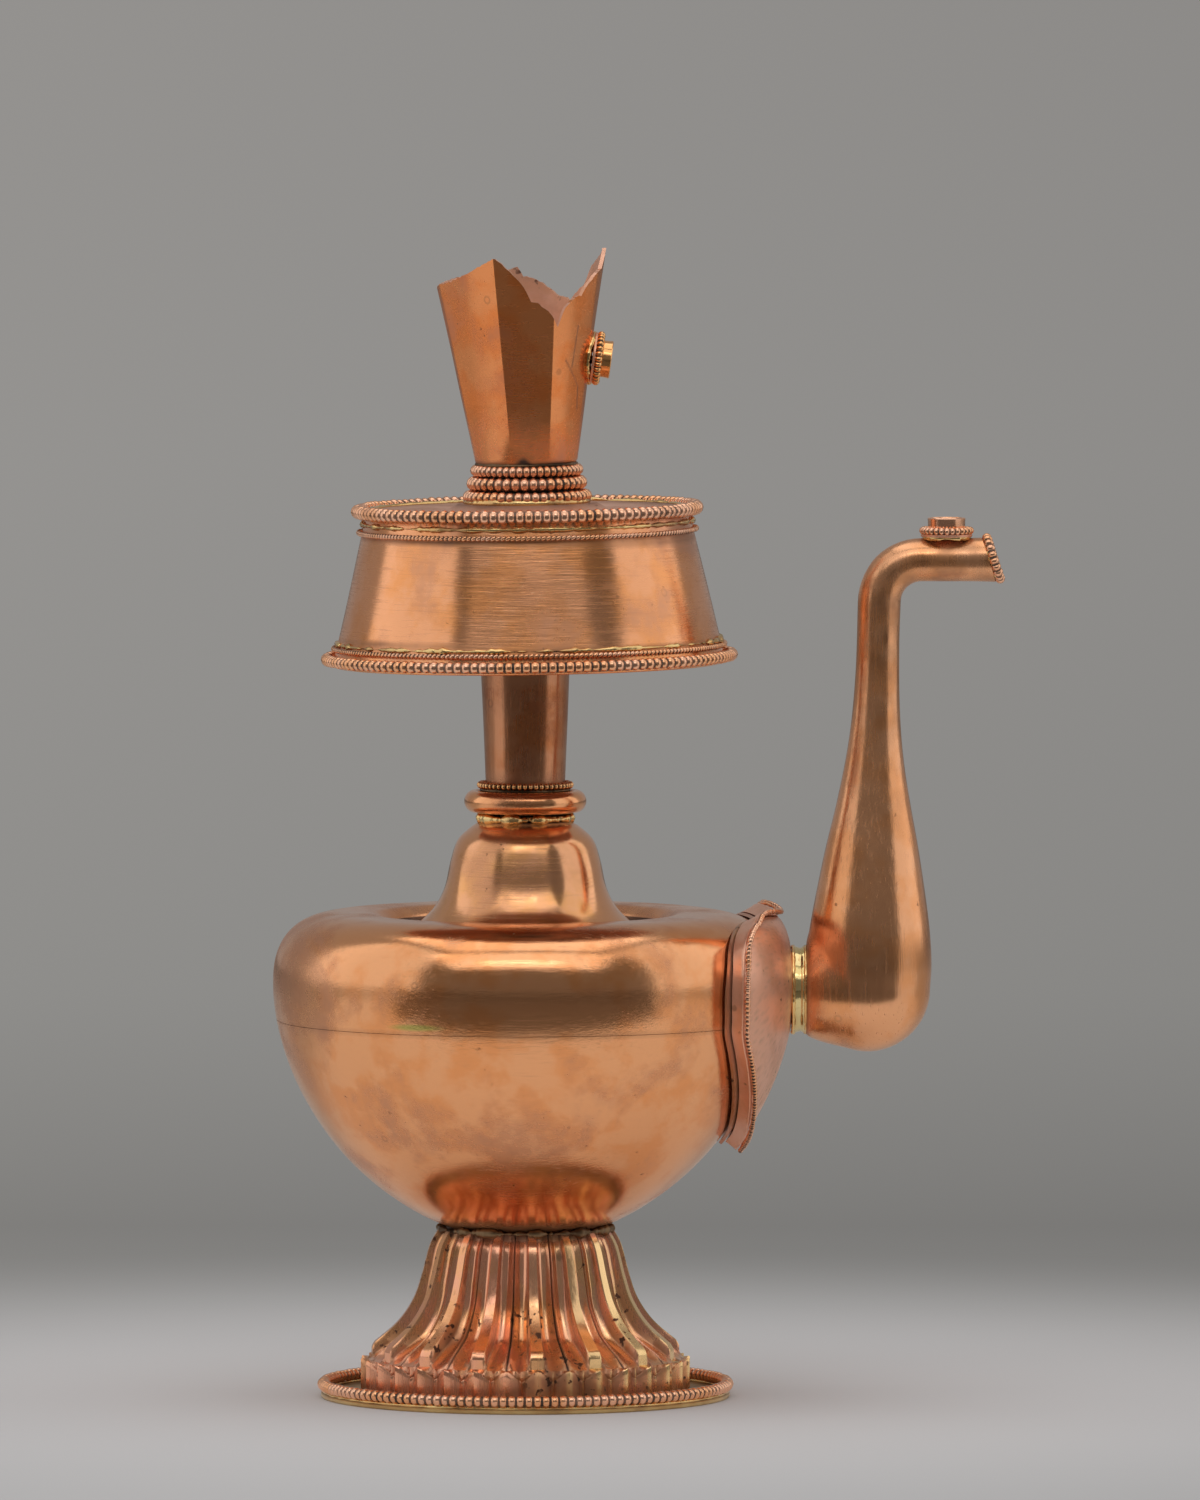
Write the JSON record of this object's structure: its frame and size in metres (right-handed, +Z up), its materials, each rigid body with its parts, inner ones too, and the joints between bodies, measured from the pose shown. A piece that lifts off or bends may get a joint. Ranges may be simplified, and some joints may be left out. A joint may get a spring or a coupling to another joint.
{
  "type": "bumpa vase",
  "caption": "Ritual water vase with a lotus foot, round body, canopied neck, scalloped mouth and a tall bent spout rising from a shield.",
  "frame": {"origin": "centre of the base plate's underside", "axes": "+Z up along the neck, +X towards the spout, -Y towards the viewer"},
  "size_m": [0.1388, 0.096, 0.2186],
  "materials": {
    "copper": null,
    "brass": "worn brass and braze metal"
  },
  "bodies": {
    "root": {"base_plate": "brass", "base_bead_ring": "copper", "lotus_foot": "copper", "body_bowl": "copper", "body_shoulder": "copper", "neck_dome": "copper", "neck_tube": "copper", "neck_lower_bead_ring": "brass", "neck_torus": "copper", "neck_bead_ring": "copper", "canopy_skirt": "copper", "canopy_top_plate": "copper", "canopy_top_bead_ring": "copper", "canopy_bottom_bead_ring": "copper", "canopy_top_wire": "copper", "canopy_bottom_wire": "copper", "crown_ring_lower": "copper", "crown_ring_middle": "copper", "crown_ring_upper": "copper", "crown_cup": "copper", "crown_bezel_plate": "copper", "crown_bezel_bead_ring": "copper", "crown_bezel_cup": "copper", "shield_back_plate": "copper", "shield_rim": "copper", "shield_wire": "copper", "shield_face": "copper", "spout_collar": "brass", "spout_tube": "copper", "spout_mouth_bead_ring": "copper", "spout_bezel_plate": "copper", "spout_bezel_bead_ring": "copper", "spout_bezel_cup": "copper"}
  },
  "joints": []
}
